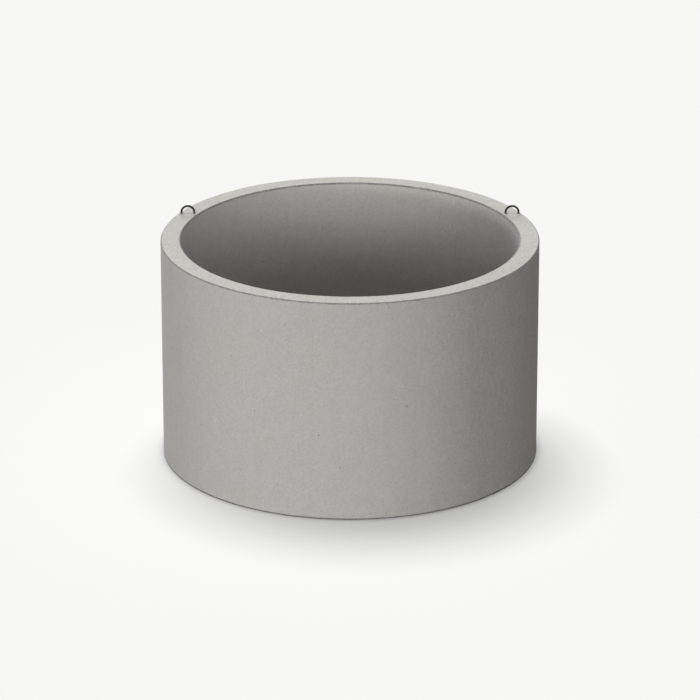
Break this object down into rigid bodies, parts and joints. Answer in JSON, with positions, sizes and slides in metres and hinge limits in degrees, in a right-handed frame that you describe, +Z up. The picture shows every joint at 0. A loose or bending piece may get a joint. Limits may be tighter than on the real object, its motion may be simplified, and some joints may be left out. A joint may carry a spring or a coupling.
{
  "type": "concrete manhole ring",
  "caption": "Precast concrete manhole ring: a plain open cylinder with flat bearing ends and small chamfers, and steel-bar lifting loops cast into its top face.",
  "frame": {"origin": "centre of the ring's lower bearing face", "axes": "+Z up the shaft, from the lower bearing face to the upper one; +X to the right; +Y to the back, the half of the rim that carries the lifting loops"},
  "size_m": [1.6798, 1.6798, 1.04],
  "materials": {
    "concrete": "matte",
    "loop_steel": "matte"
  },
  "bodies": {
    "root": {"concrete_ring": "concrete", "lifting_loop_left": "loop_steel", "lifting_loop_right": "loop_steel"}
  },
  "joints": []
}
